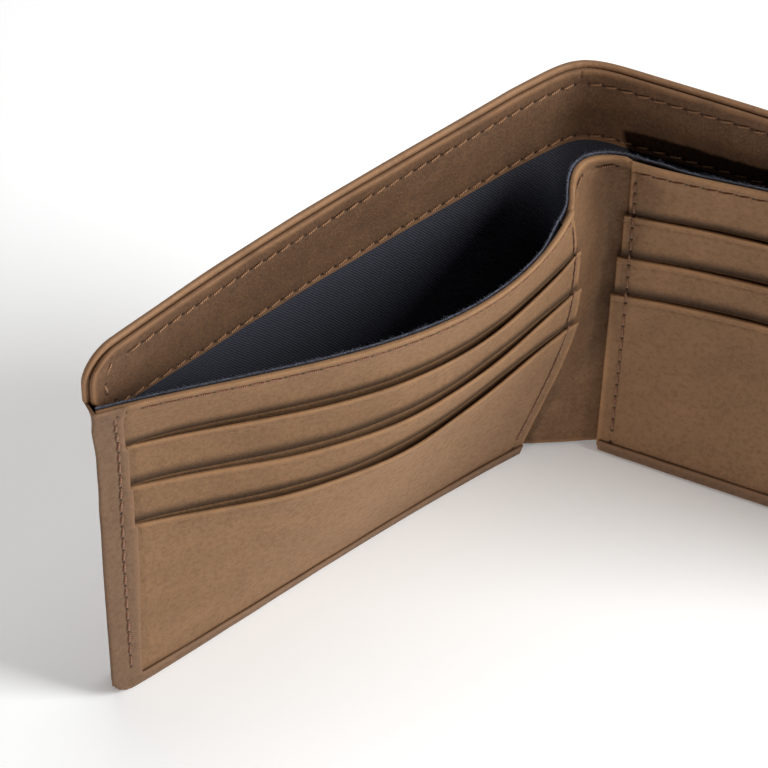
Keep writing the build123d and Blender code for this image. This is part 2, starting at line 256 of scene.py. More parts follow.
class Surface:
    """A guide surface: a plan curve at each height, walked by the share of its length."""

    def __init__(self, plan, high, columns, facing=1):
        self.heights = np.arange(-1.0, high + 1.0, 1.0)
        lines = [plan(max(z, 0.0)) for z in self.heights]
        self.table = np.array([evened(line, columns) for line in lines])
        lengths = np.hypot(*np.moveaxis(np.diff(self.table, axis=1), 2, 0)).sum(axis=1)
        self.length = float(lengths.mean())
        self.facing = facing

    def at(self, share, z):
        """Points of the surface, for arrays of shares and heights."""
        rows, columns = self.table.shape[:2]
        i = np.clip(z - self.heights[0], 0, rows - 1.001)
        j = np.clip(np.asarray(share) * (columns - 1), 0, columns - 1.001)
        i0, j0 = i.astype(int), j.astype(int)
        fi, fj = (i - i0)[..., None], (j - j0)[..., None]
        low = self.table[i0, j0] * (1 - fj) + self.table[i0, j0 + 1] * fj
        high = self.table[i0 + 1, j0] * (1 - fj) + self.table[i0 + 1, j0 + 1] * fj
        plan = low * (1 - fi) + high * fi
        return np.concatenate([plan, np.broadcast_to(z, plan.shape[:-1])[..., None]], axis=-1)

    def normal(self, share, z):
        """Unit normals that point to the wallet's inside."""
        step, climb = 0.6 / self.length, 1.5
        low, high = np.clip(share - step, 0, 1), np.clip(share + step, 0, 1)
        under, over = np.maximum(z - climb, 0), np.minimum(z + climb, self.heights[-1])
        out = np.cross(self.at(high, z) - self.at(low, z), self.at(share, over) - self.at(share, under))
        return self.facing * out / np.linalg.norm(out, axis=-1, keepdims=True)

    def on(self, along, z, offset):
        """Points at a distance along, a height and a level offset, all in millimetres."""
        share = along / self.length
        away = self.normal(share, z) * (1.0, 1.0, 0.0)
        away /= np.linalg.norm(away, axis=-1, keepdims=True)
        return self.at(share, z) + away * np.asarray(offset)[..., None]


BACK = Surface(back_plan, COVER_HEIGHT + 1, BACK_COLUMNS)
FRONT = {
    w.name: Surface(lambda z, w=w: w.plan(w.front_at, z), PANEL_HEIGHT + 2, FRONT_COLUMNS, w.hand)
    for w in (LEFT, RIGHT)
}
GUSSET = Surface(gusset_plan, PANEL_HEIGHT + 2, GUSSET_COLUMNS)
# The back's two halves meet at its rearmost place in this row of the table, half-way up
HALF_WAY_ROW = 48
SPINE_MIDDLE = float(np.argmax(BACK.table[HALF_WAY_ROW, :, 1])) / (BACK_COLUMNS - 1)


# ---- Mesh making ----

def mesh_object(name, points, faces, coordinates, border=None, flat_from=None):
    """A smooth mesh. coordinates are its UV maps, {name: one pair for each vertex}."""
    mesh = bpy.data.meshes.new(name)
    mesh.from_pydata((points * MM).tolist(), [], faces)
    corner_vertex = np.zeros(len(mesh.loops), int)
    mesh.loops.foreach_get("vertex_index", corner_vertex)
    for label, pairs in coordinates.items():
        layer = mesh.uv_layers.new(name=label)
        layer.data.foreach_set("uv", pairs[corner_vertex].astype(np.float32).ravel())
    if border is not None:
        layer = mesh.attributes.new("border", "FLOAT", "POINT")
        layer.data.foreach_set("value", border.astype(np.float32))
    smooth = np.ones(len(mesh.polygons), bool)
    if flat_from is not None:
        smooth[flat_from:] = False
    mesh.polygons.foreach_set("use_smooth", smooth)
    mesh.update()
    piece = bpy.data.objects.new(name, mesh)
    bpy.context.scene.collection.objects.link(piece)
    return piece


def shell(name, face, rear, opened, coordinates, border):
    """A closed shell from two grids of points. They come together along their borders, but a first
    or last row that is opened is capped with a flat edge instead."""
    rows, columns = face.shape[:2]
    front = np.arange(rows * columns).reshape(rows, columns)
    back = front + rows * columns
    back[:, [0, -1]] = front[:, [0, -1]]
    for row, capped in zip((0, -1), opened):
        if not capped:
            back[row] = front[row]

    def quads(grid, turn):
        q = np.stack([grid[:-1, :-1], grid[1:, :-1], grid[1:, 1:], grid[:-1, 1:]], axis=-1)
        q = q.reshape(-1, 4)
        return q[:, ::-1] if turn else q

    faces = [*quads(front, False).tolist(), *quads(back, True).tolist()]
    flat_from = len(faces)
    for row, capped in zip((0, -1), opened):
        if capped:
            for k in range(columns - 1):
                quad = (front[row, k], front[row, k + 1], back[row, k + 1], back[row, k])
                ring = list(dict.fromkeys(quad))
                faces.append(ring[::-1] if row == 0 else ring)
    points = np.concatenate([face.reshape(-1, 3), rear.reshape(-1, 3)])
    used = np.unique(np.concatenate([front.ravel(), back.ravel()]))
    renumber = np.zeros(len(points), int)
    renumber[used] = np.arange(len(used))
    faces = [[int(renumber[v]) for v in f] for f in faces]
    doubled = {k: np.concatenate([v.reshape(-1, 2)] * 2)[used] for k, v in coordinates.items()}
    edge = np.concatenate([border.ravel()] * 2)[used]
    return mesh_object(name, points[used], faces, doubled, edge, flat_from)


def arc_in(distance, radius):
    """How far a rounded corner cuts in, at a distance from the side."""
    inside = np.clip(radius - distance, 0, radius)
    return radius - np.sqrt(radius**2 - inside**2)


def positions(low, high, step, near_low, near_high, lines):
    """Places from low to high about a step apart, with closer ones near both ends and each line."""
    close = [low, high, *(low + d for d in near_low), *(high - d for d in near_high)]
    close += [line + d for line in lines for d in (-0.8, -0.45, -0.2, 0, 0.2, 0.45, 0.8)]
    close = np.unique(np.round([c for c in close if low <= c <= high], 4))
    even = np.linspace(low, high, max(3, round((high - low) / step)))
    far = np.abs(even[:, None] - close[None, :]).min(axis=1) > 0.35 * step
    return np.unique(np.concatenate([close, even[far]]))


# Closer columns where two halves of a sheet meet, so that they shade as one
OPEN_END = (0.04, 0.12, 0.25, 0.45, 0.7)


def rounding(radius, count=5):
    """Distances from an edge that step round a quarter circle."""
    return radius * (1 - np.cos(np.linspace(0, math.pi / 2, count)))


def sheet(name, surface, span, heights, offsets, edge=0.3, corners=(0, 0, 0, 0), step=1.0,
          lines=(), posts=(), lift=None, relief=None, rear_relief=None, low_edge=None, top_drop=None,
          warp=None, ragged=0.0, open_ends=(False, False), stitched=None):
    """A sheet on a guide surface, with rounded edges.

    span is where it starts and ends along the surface, and corners are its radii at the start's
    foot and top and the end's foot and top. lift moves the whole sheet off the surface, relief and
    rear_relief swell its two faces, low_edge raises its foot, top_drop lowers its top, warp moves
    places along the surface, ragged roughens its top, and stitched gives the coordinates that the
    stitch holes are drawn from. lines and posts are heights and places with finer mesh."""
    (start, end), (low, high) = span, heights
    near_ends = [
        OPEN_END if opened else (*rounding(edge), *rounding(max(radii), 12 if max(radii) else 1))
        for opened, radii in zip(open_ends, (corners[:2], corners[2:]))
    ]
    along = positions(start, end, step, *near_ends, posts)
    rows = positions(low, high, step, rounding(edge), rounding(edge), lines)
    x, z = np.meshgrid(along, rows, indexing="ij")
    foot = low + (low_edge(x) if low_edge else np.zeros_like(x))
    lows = foot + arc_in(x - start, corners[0]) + arc_in(end - x, corners[2])
    highs = high - arc_in(x - start, corners[1]) - arc_in(end - x, corners[3])
    if top_drop:
        highs = highs - top_drop(x)
    if ragged:
        highs = highs + RANDOM.uniform(-ragged, ragged, len(along))[:, None]
    z = lows + (z - low) / (high - low) * (highs - lows)
    before = np.full_like(x, 1e3) if open_ends[0] else x - start
    after = np.full_like(x, 1e3) if open_ends[1] else end - x
    under, over = z - foot, (highs if top_drop or ragged else high) - z
    border = np.minimum(np.minimum(before, after), np.minimum(under, over))
    sides = ((before, under), (before, over), (after, under), (after, over))
    for (side, rim), radius in zip(sides, corners):
        inside = (side < radius) & (rim < radius)
        border = np.where(inside, radius - np.hypot(radius - side, radius - rim), border)
    border = np.maximum(border, 0)
    full = np.sqrt(1 - (1 - np.clip(border / edge, 0, 1)) ** 2)
    middle, half = sum(offsets) / 2, (offsets[1] - offsets[0]) / 2 * full
    if lift:
        middle = middle + lift(x, z)
    swell = full * (relief(x, z) if relief else 0)
    rear_swell = full * (rear_relief(x, z) if rear_relief else 0)
    place = warp(x, z) if warp else x
    face = surface.on(place, z, middle + half + swell)
    rear = surface.on(place, z, middle - half - rear_swell)
    holes = stitched(x, z) if stitched else np.full(x.shape + (2,), 9.0)
    coordinates = {"flat": np.stack([x, z], axis=-1), "stitch": holes}
    if surface.facing < 0:
        face, rear = rear, face
    return shell(name, face, rear, open_ends, coordinates, border)


def ripple(x, z, seed, wave=14.0):
    """Slow unevenness of hand-cut leather, from -1 to 1."""
    random = np.random.default_rng(seed)
    total = 0
    for _ in range(5):
        angle, phase = random.uniform(0, 2 * math.pi, 2)
        length = wave * random.uniform(0.6, 1.8)
        total = total + np.sin((x * np.cos(angle) + z * np.sin(angle)) * 2 * math.pi / length + phase)
    return total / 5


def bump(value, at, width):
    """A smooth bump of height 1 at a place."""
    return np.exp(-(((value - at) / width) ** 2))


def rise(value, start, end):
    """A smooth step from 0 at start to 1 at end."""
    t = np.clip((value - start) / (end - start), 0, 1)
    return t * t * (3 - 2 * t)


def level_holes(height):
    """Stitch coordinates of one level row: pitches along it, and millimetres from it."""
    return lambda x, z: np.stack([x / PITCH, z - height], axis=-1)


def upright_holes(place):
    """Stitch coordinates of one upright row."""
    return lambda x, z: np.stack([z / PITCH, x - place], axis=-1)


def nearest_holes(*patterns):
    """The stitch coordinates of whichever pattern is nearer."""
    def at(x, z):
        found = np.stack([p(x, z) for p in patterns])
        pick = np.abs(found[..., 1]).argmin(axis=0)
        return np.take_along_axis(found, pick[None, ..., None], axis=0)[0]
    return at


# ---- Materials ----

def linear(colour):
    """A colour given as sRGB from 0 to 255, as Blender takes it."""
    parts = [c / 255 for c in colour]
    return (*[c / 12.92 if c <= 0.04045 else ((c + 0.055) / 1.055) ** 2.4 for c in parts], 1.0)


class Nodes:
    """Short names for building one material's nodes."""

    def __init__(self, name):
        self.material = bpy.data.materials.new(name)
        self.material.use_nodes = True
        self.tree = self.material.node_tree
        self.shader = self.tree.nodes["Principled BSDF"]

    def feed(self, node, inputs):
        """Gives a node its inputs, by name or number: values or other outputs."""
        for key, value in inputs.items():
            if isinstance(value, bpy.types.NodeSocket):
                self.tree.links.new(value, node.inputs[key])
            else:
                node.inputs[key].default_value = value
        return node

    def add(self, kind, inputs=None, **settings):
        """A node with its settings and its inputs."""
        node = self.tree.nodes.new("ShaderNode" + kind)
        for key, value in settings.items():
            setattr(node, key, value)
        return self.feed(node, inputs or {})

    def math(self, operation, a, b=0.0):
        return self.add("Math", {0: a, 1: b}, operation=operation).outputs[0]

    def times(self, a, b):
        return self.math("MULTIPLY", a, b)

    def plus(self, a, b):
        return self.math("ADD", a, b)

    def place(self):
        return self.add("TexCoord").outputs["Object"]

    def uv(self, name):
        return self.add("UVMap", uv_map=name).outputs["UV"]

    def split(self, vector):
        return self.add("SeparateXYZ", {0: vector}).outputs

    def border(self):
        """Millimetres from the sheet's nearest edge."""
        return self.add("Attribute", attribute_name="border").outputs["Fac"]

    def noise(self, vector, scale, detail=3.0, roughness=0.55):
        inputs = {"Vector": vector, "Scale": scale, "Detail": detail, "Roughness": roughness}
        return self.add("TexNoise", inputs).outputs["Fac"]

    def ramp(self, value, low, high, to_low=0.0, to_high=1.0):
        inputs = {"Value": value, "From Min": low, "From Max": high, "To Min": to_low, "To Max": to_high}
        return self.add("MapRange", inputs, interpolation_type="SMOOTHSTEP").outputs[0]

    def mix(self, share, a, b):
        return self.add("Mix", {0: share, 6: a, 7: b}, data_type="RGBA").outputs[2]

    def wash(self, colour, mask, amount, other):
        """A colour with an amount of another one, where the mask is."""
        return self.mix(self.times(mask, amount), colour, other)

    def bumped(self, height, distance, strength=1.0, normal=None):
        inputs = {"Height": height, "Distance": distance, "Strength": strength}
        if normal is not None:
            inputs["Normal"] = normal
        return self.add("Bump", inputs).outputs["Normal"]

    def finish(self, colour, roughness, normal, **values):
        self.feed(self.shader, {"Base Color": colour, "Roughness": roughness, "Normal": normal})
        self.feed(self.shader, {key.replace("_", " "): value for key, value in values.items()})
        return self.material


# Two painted shades: the first darkens the leather above the pocket mouths, the second fills the needle holes
MOUTH_SHADE, NEEDLE_HOLE_SHADE = (40, 27, 19), (48, 30, 20)


def leather(name, base, deep, worn, mouths=()):
    """Waxed nubuck: mottled brown, fine pores and lighter rubbed edges, with painted shade in the needle
    holes and along the stitch rows. Painted shade also darkens the leather just above each of the pocket
    mouths."""
    n = Nodes(name)
    base, deep, worn, shade, needle = map(linear, (base, deep, worn, MOUTH_SHADE, NEEDLE_HOLE_SHADE))
    place = n.place()
    cloud = n.noise(place, 38.0, 4.0, 0.6)
    patch = n.noise(place, 160.0, 3.0)
    pore = n.noise(place, 2600.0, 2.0, 0.7)
    cell = n.add("TexVoronoi", {"Vector": place, "Scale": 1500.0}).outputs["Distance"]
    fleck = n.noise(place, 900.0, 3.0, 0.6)

    colour = n.mix(n.ramp(cloud, 0.2, 0.8, 0.45, 1.0), deep, base)
    colour = n.wash(colour, n.ramp(patch, 0.4, 0.75), 0.22, worn)
    colour = n.wash(colour, n.ramp(fleck, 0.44, 0.68), 0.52, deep)
    colour = n.wash(colour, n.ramp(pore, 0.46, 0.68), 0.36, worn)

    border = n.border()
    rubbed = n.times(n.ramp(border, 1.5, 0.25), n.ramp(patch, 0.25, 0.6, 0.35, 0.85))
    colour = n.mix(rubbed, colour, worn)
    colour = n.wash(colour, n.ramp(border, 0.16, 0.02), 0.35, deep)

    level = n.split(place)[2]
    # Painted shade: a dark band just above each pocket mouth, for the shade in the gap behind the pocket's
    # lip
    for mouth in mouths:
        painted_shade = n.ramp(level, (mouth + 3.0) * MM, (mouth + 0.4) * MM)
        painted_shade = n.times(painted_shade, n.math("GREATER_THAN", level, (mouth + 0.05) * MM))
        colour = n.wash(colour, painted_shade, 0.8, shade)

    split = n.split(n.uv("stitch"))
    phase = n.math("FRACT", n.plus(split[0], 0.5))
    along = n.times(n.math("SUBTRACT", phase, 0.5), PITCH)
    away = n.math("ABSOLUTE", split[1])
    reach = n.math("SQRT", n.plus(n.times(along, along), n.times(away, away)))
    hole = n.ramp(reach, 0.44, 0.24)
    # Painted shade: a slight darkening along each stitch row's groove, and dark needle holes for the shade
    # inside them
    colour = n.wash(colour, n.ramp(away, 0.75, 0.1), 0.08, deep)
    colour = n.wash(colour, hole, 0.88, needle)

    height = n.plus(n.times(pore, 0.5), n.times(cell, 0.7))
    height = n.plus(height, n.times(fleck, 0.8))
    height = n.math("SUBTRACT", height, n.times(hole, 2.5))
    normal = n.bumped(n.plus(patch, n.times(cloud, 1.5)), 0.0006, 0.35)
    normal = n.bumped(height, 0.00016, 0.55, normal)
    roughness = n.ramp(fleck, 0.35, 0.7, 0.68, 0.86)
    return n.finish(colour, roughness, normal, Sheen_Weight=0.22, Sheen_Roughness=0.45,
                    Sheen_Tint=worn, Specular_IOR_Level=0.28)


def twill(name, thread, gap, frayed):
    """Dark cotton twill: diagonal ribs of two threads, with pale worn fibres at its cut edge."""
    n = Nodes(name)
    thread, gap, frayed = map(linear, (thread, gap, frayed))
    flat = n.uv("flat")
    split = n.split(flat)
    wander = n.noise(flat, 0.9, 2.0)
    lean = n.plus(split[0], n.times(split[1], 0.8))
    lean = n.plus(lean, n.times(wander, 0.35))
    rib = n.math("SINE", n.times(lean, 2 * math.pi / 0.62))
    pick = n.math("SINE", n.times(split[1], 2 * math.pi / 0.36))
    weave = n.plus(n.times(rib, 0.65), n.times(pick, 0.35))
    slub = n.noise(flat, 2.6, 3.0, 0.7)
    speck = n.noise(flat, 5.5, 2.0, 0.8)
    colour = n.mix(n.ramp(weave, -0.5, 0.8), gap, thread)
    colour = n.wash(colour, n.ramp(speck, 0.56, 0.74), 0.55, frayed)
    colour = n.mix(n.ramp(slub, 0.3, 0.62, 0.55, 0.0), colour, gap)
    border = n.border()
    fuzz = n.noise(n.place(), 3200.0, 3.0, 0.7)
    ragged = n.plus(border, n.times(slub, 0.6))
    worn_edge = n.times(n.ramp(ragged, 1.15, 0.5), n.ramp(fuzz, 0.38, 0.62, 0.1, 0.75))
    colour = n.mix(worn_edge, colour, frayed)
    height = n.plus(n.times(weave, 0.5), n.times(speck, 0.9))
    normal = n.bumped(height, 0.00016, 0.7)
    return n.finish(colour, 0.92, normal, Sheen_Weight=0.3, Sheen_Roughness=0.5,
                    Sheen_Tint=frayed, Specular_IOR_Level=0.2)


def thread(name, base, deep):
    """Waxed twisted thread: plies wind round each stitch."""
    n = Nodes(name)
    base, deep = map(linear, (base, deep))
    split = n.split(n.uv("flat"))
    ply = n.math("SINE", n.plus(n.times(split[0], 2 * math.pi / 0.42), n.times(split[1], 2 * math.pi)))
    fuzz = n.noise(n.place(), 2400.0)
    colour = n.mix(n.ramp(ply, -0.9, 0.5), deep, base)
    colour = n.wash(colour, fuzz, 0.3, deep)
    normal = n.bumped(ply, 0.00008, 0.8)
    return n.finish(colour, 0.55, normal, Sheen_Weight=0.15, Specular_IOR_Level=0.4)


def board(name, base, deep):
    """Grey-brown fibre board."""
    n = Nodes(name)
    base, deep = map(linear, (base, deep))
    fibre = n.noise(n.place(), 1200.0, 4.0, 0.7)
    colour = n.mix(n.ramp(fibre, 0.35, 0.7), deep, base)
    return n.finish(colour, 0.9, n.bumped(fibre, 0.0001, 0.5))


# Each material, with the name of a slot, which dressed does not use
COVER_LEATHER = leather("cover_nubuck", (128, 96, 70), (104, 75, 53), (149, 112, 81)), "cover_leather"
FACING_LEATHER = leather("facing_nubuck", (92, 66, 46), (75, 52, 37), (136, 99, 69)), "facing_leather"
POCKET_LEATHER = (
    leather("pocket_nubuck", (130, 99, 71), (107, 79, 56), (154, 115, 80), MOUTHS), "pocket_leather")
# The gusset's leather is the pocket leather painted darker: painted shade for the deep channel between the
# fronts
SHADED_GUSSET_LEATHER = leather("gusset_nubuck", (112, 83, 59), (92, 66, 46), (152, 113, 78)), "pocket_leather"
BAND_LEATHER = leather("band_nubuck", (114, 88, 67), (94, 71, 53), (131, 99, 74)), "band_leather"
LINING_TWILL = twill("lining_twill_weave", (76, 76, 86), (38, 38, 45), (104, 108, 122)), "lining_twill"
POCKET_CLOTH = twill("pocket_cloth_weave", (58, 54, 54), (26, 24, 24), (110, 106, 104)), "pocket_cloth"
TAN_THREAD = thread("tan_thread_plies", (172, 124, 84), (112, 76, 48)), "thread_tan"
BROWN_THREAD = thread("brown_thread_plies", (160, 108, 72), (98, 62, 42)), "thread_brown"
FIBRE_BOARD = board("fibre_board", (150, 140, 126), (110, 102, 90)), "stiffener_board"


def dressed(piece, dress, *nodes):
    """Gives a piece its material, and hides the CAD nodes that it stands for."""
    material, slot_name = dress
    piece.data.materials.append(material)
    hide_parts(*nodes)
    return piece


# ---- Bodies and anchor points of the pieces ----

# Distances along u on both sides of each fold's hinge, and an n, for the points that bend_with works out
BEND = {"left": (-4.5, 3.5), "right": (-5.5, 4.5)}
BEND_N = -7.0
# An n for the slack left front's anchor, the gusset's anchor, and two points for the gusset's bend; they are
# worked out below but nothing is moved
FRONT_ANCHOR_N = -1.5
GUSSET_ANCHOR = (2.0, -7.44)
GUSSET_BEND = ((2.5, -5.5), (6.6, -7.7))


def metres(plan_point):
    """A place on the floor plan, as a point in metres."""
    return tuple(float(c) * MM for c in (*plan_point, 0.0))


def bend_with(piece, wing):
    """A half of the back: works out the ends of its fold's bend, and bakes its transform into its mesh."""
    start, end = (wing.place([u], [BEND_N])[0] for u in BEND[wing.name])
    metres(start)
    metres(end)
    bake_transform(piece)


def go_with_front(piece, wing):
    """A piece of a wing's front: it is parented to its wing's body, and each left front piece gets a mesh of
    its own.
    """
    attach(piece, f"{wing.name}_wing")
    if wing is LEFT:
        anchor = metres(wing.place([0], [FRONT_ANCHOR_N])[0])
        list(wing.outward)
        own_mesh(piece)


def go_with_gusset(piece, side):
    """A half of the gusset: the left one is parented to the spine's body and gets a mesh of its own, and the
    right one has its transform baked into its mesh.
    """
    if side == "left":
        anchor = metres(GUSSET_ANCHOR)
        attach(piece, "spine")
        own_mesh(piece)
    else:
        start, end = (metres(p) for p in GUSSET_BEND)
        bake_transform(piece)


# ---- Camera, light and floor ----

CAMERA_PLACE = (-116.472, -584.856, 630.685)
CAMERA_FORWARD = (0.0938954, 0.6858345, -0.7216749)
CAMERA_RIGHT = (0.993272, -0.1138844, 0.0210038)
CAMERA_LENS = 196.875
CAMERA_SENSOR = 36.0
# Each light: its azimuth and elevation, its distance and size in metres, its power and its colour
LIGHTS = (
    ("key", 50.0, 10.0, 1.2, (0.09, 0.09), 4.1, (1.0, 0.93, 0.87)),
    ("side", -70.0, 27.0, 1.2, (0.5, 1.0), 20.5, (0.98, 1.0, 1.0)),
    ("top", -150.0, 66.0, 1.5, (1.4, 1.4), 12.0, (1.0, 1.0, 1.0)),
)
LIGHT_TARGET = (0.0, -0.02, 0.05)
WORLD_STRENGTH = 0.03
FLOOR_GLOW = 0.16
FLOOR_LEVEL = -0.00015


def add_camera():
    camera = bpy.data.objects.new("camera", bpy.data.cameras.new("camera"))
    bpy.context.scene.collection.objects.link(camera)
    camera.data.lens, camera.data.sensor_width = CAMERA_LENS, CAMERA_SENSOR
    camera.data.clip_start, camera.data.clip_end = 0.05, 20.0
    right, forward = Vector(CAMERA_RIGHT).normalized(), Vector(CAMERA_FORWARD).normalized()
    up = right.cross(forward)
    turn = Matrix((right, up, -forward)).transposed().to_4x4()
    camera.matrix_world = Matrix.Translation(Vector(CAMERA_PLACE) * MM) @ turn
    bpy.context.scene.camera = camera


def add_light(name, azimuth, elevation, distance, size, power, colour):
    """A soft box. Its azimuth is from the front, -Y, towards the left."""
    lamp = bpy.data.lights.new(name, "AREA")
    lamp.shape, lamp.size, lamp.size_y = "RECTANGLE", *size
    lamp.energy, lamp.color = power, colour
    light = bpy.data.objects.new(name, lamp)
    a, e = math.radians(azimuth), math.radians(elevation)
    away = Vector((-math.sin(a) * math.cos(e), -math.cos(a) * math.cos(e), math.sin(e)))
    light.location = Vector(LIGHT_TARGET) + away * distance
    light.rotation_euler = (-away).to_track_quat("-Z", "Y").to_euler()
    bpy.context.scene.collection.objects.link(light)


def add_studio():
    """A pale floor that glows a little, a low crisp key from the left and soft boxes elsewhere."""
    world = bpy.data.worlds.new("studio")
    world.use_nodes = True
    background = world.node_tree.nodes["Background"]
    background.inputs[0].default_value = (1.0, 1.0, 1.0, 1.0)
    background.inputs[1].default_value = WORLD_STRENGTH
    bpy.context.scene.world = world
    bpy.context.scene.view_settings.view_transform = "Standard"
    for lamp in LIGHTS:
        add_light(*lamp)

    bpy.ops.mesh.primitive_plane_add(size=6.0, location=(0, 0, FLOOR_LEVEL))
    floor = bpy.context.object
    floor.name = "floor"
    n = Nodes("floor_paper")
    place = n.place()
    tooth = n.noise(place, 900.0, 3.0)
    colour = n.wash((0.93, 0.93, 0.93, 1.0), tooth, 0.1, (0.86, 0.86, 0.86, 1.0))
    paper = n.finish(colour, 0.9, n.bumped(tooth, 0.0001, 0.1), Emission_Color=(1.0, 1.0, 1.0, 1.0),
                     Emission_Strength=FLOOR_GLOW)
    floor.data.materials.append(paper)


# ---- Thread ----

STITCH_SIDES, STITCH_RINGS = 6, 9
STITCH_TURN_IN = 0.16


def stitches(name, surface, places, dress, *nodes, slant=12.0):
    """A piece of thread: places are (along, z, offset, direction in degrees, outer) for each stitch's
    middle, with outer true where it is on the surface's far side."""
    t = np.linspace(-1, 1, STITCH_RINGS)
    thickness = STITCH_RADIUS * np.sqrt(np.maximum(1 - np.abs(t) ** 4, 0.02))
    angles = np.linspace(0, 2 * math.pi, STITCH_SIDES, endpoint=False)
    points, faces, flat = [], [], []
    for x, z, offset, direction, outer in places:
        angle = math.radians(direction + slant)
        dx, dz = np.array([math.cos(angle), math.sin(angle)]) * STITCH_LENGTH / 2
        a, b = (surface.on(np.array(x + s * dx), np.array(z + s * dz), offset) for s in (-1, 1))
        up = surface.normal(np.array(x / surface.length), np.array(float(z))) * (-1 if outer else 1)
        line = b - a
        side = np.cross(up, line)
        side /= np.linalg.norm(side)
        rise_off = STITCH_RADIUS * 0.35 - STITCH_TURN_IN * t**4
        spine = (a + b) / 2 + np.outer(t / 2, line) + np.outer(rise_off, up)
        ring = np.outer(np.cos(angles), side) + np.outer(np.sin(angles), up) * 0.85
        grid = len(points) * len(t) * len(angles) + np.arange(len(t) * len(angles)).reshape(len(t), -1)
        after = np.roll(grid, -1, axis=1)
        faces += np.stack([grid[:-1], after[:-1], after[1:], grid[1:]], -1).reshape(-1, 4).tolist()
        faces += [grid[0][::-1].tolist(), grid[-1].tolist()]
        points.append((spine[:, None, :] + ring[None, :, :] * thickness[:, None, None]).reshape(-1, 3))
        wound = np.meshgrid(t * np.linalg.norm(line) / 2, angles / (2 * math.pi), indexing="ij")
        flat.append(np.stack(wound, -1).reshape(-1, 2))
    piece = mesh_object(name, np.concatenate(points), faces, {"flat": np.concatenate(flat)})
    return dressed(piece, dress, *nodes)


def in_step(start, end):
    """The middles of the stitches from start to end, in step with the needle holes."""
    return [(k + 0.5) * PITCH for k in range(math.ceil(start / PITCH), math.floor(end / PITCH))]


def level_places(start, end, z, offset, outer=False):
    """Stitches along a level row."""
    return [(x, z, offset, 0.0, outer) for x in in_step(start, end)]


def upright_places(x, low, high, offset_at, outer=False):
    """Stitches along an upright row."""
    return [(x, z, offset_at(z), 90.0, outer) for z in in_step(low, high)]


# ---- The back: outer leather, board, lining and facing ----

MIDDLE = SPINE_MIDDLE * BACK.length
SPINE_LIFT_SPAN = 14.0
RIM_CORNER = 3.4
TIP_TUCK = 4.3
TIP_TUCK_REACH = 34.0
# The facing's crease over the spine, a little to the left of the middle
APEX = MIDDLE - 1.0


def from_tip(wing, x):
    """How far a place along the back is from its wing's tip, or the place that is x from the tip."""
    return x if wing is LEFT else BACK.length - x


def half_span(wing, inset):
    """Where a half of the back starts and ends, without an inset at its tip."""
    return (inset, MIDDLE) if wing is LEFT else (MIDDLE, BACK.length - inset)


def tucked_in(wing):
    """Below the panel's top, the back's tip draws in behind the turned edge of the front."""
    def at(x, z):
        reach = rise(from_tip(wing, x), TIP_TUCK_REACH, 0.0)
        return x - wing.hand * TIP_TUCK * rise(z, PANEL_HEIGHT + 1.0, PANEL_HEIGHT - 7.0) * reach
    return at


def back_sheet(wing, name, heights, offsets, inset=0.0, corner=(0, 0), **more):
    """A sheet of one half of the back, from the spine's middle to inset from the tip."""
    corners = (*corner, 0, 0) if wing is LEFT else (0, 0, *corner)
    return sheet(name, BACK, half_span(wing, inset), heights, offsets, corners=corners,
                 open_ends=(wing is RIGHT, wing is LEFT), warp=tucked_in(wing), **more)


def rim_holes(wing):
    """Stitch coordinates of the line along the top and down the tip."""
    def at(x, z):
        e = from_tip(wing, x)
        top = np.stack([x / PITCH, np.where(e > SIDE_STITCH_INSET + RIM_CORNER, z - RIM_STITCH_Z, 9.0)], -1)
        side = np.stack([z / PITCH, np.where(z < RIM_STITCH_Z - RIM_CORNER, e - SIDE_STITCH_INSET, 9.0)], -1)
        return np.where(np.abs(top[..., 1:]) < np.abs(side[..., 1:]), top, side)
    return at


def rim_places(wing, inner, outer):
    """Stitches along the top, round the corner and down the tip, on the inside and the outside."""
    span, tip_x = half_span(wing, SIDE_STITCH_INSET + RIM_CORNER), from_tip(wing, SIDE_STITCH_INSET)
    shift = RIM_CORNER * (1 - math.cos(math.radians(45)))
    places = []
    for offset, far, foot in ((inner, False, PANEL_HEIGHT - 1.6), (outer, True, 5.0)):
        places += level_places(*span, RIM_STITCH_Z, offset, far)
        places += upright_places(tip_x, foot, RIM_STITCH_Z - RIM_CORNER, lambda z: offset, far)
        places.append((tip_x - wing.hand * shift, RIM_STITCH_Z - shift, offset, -45 * wing.hand, far))
    return places


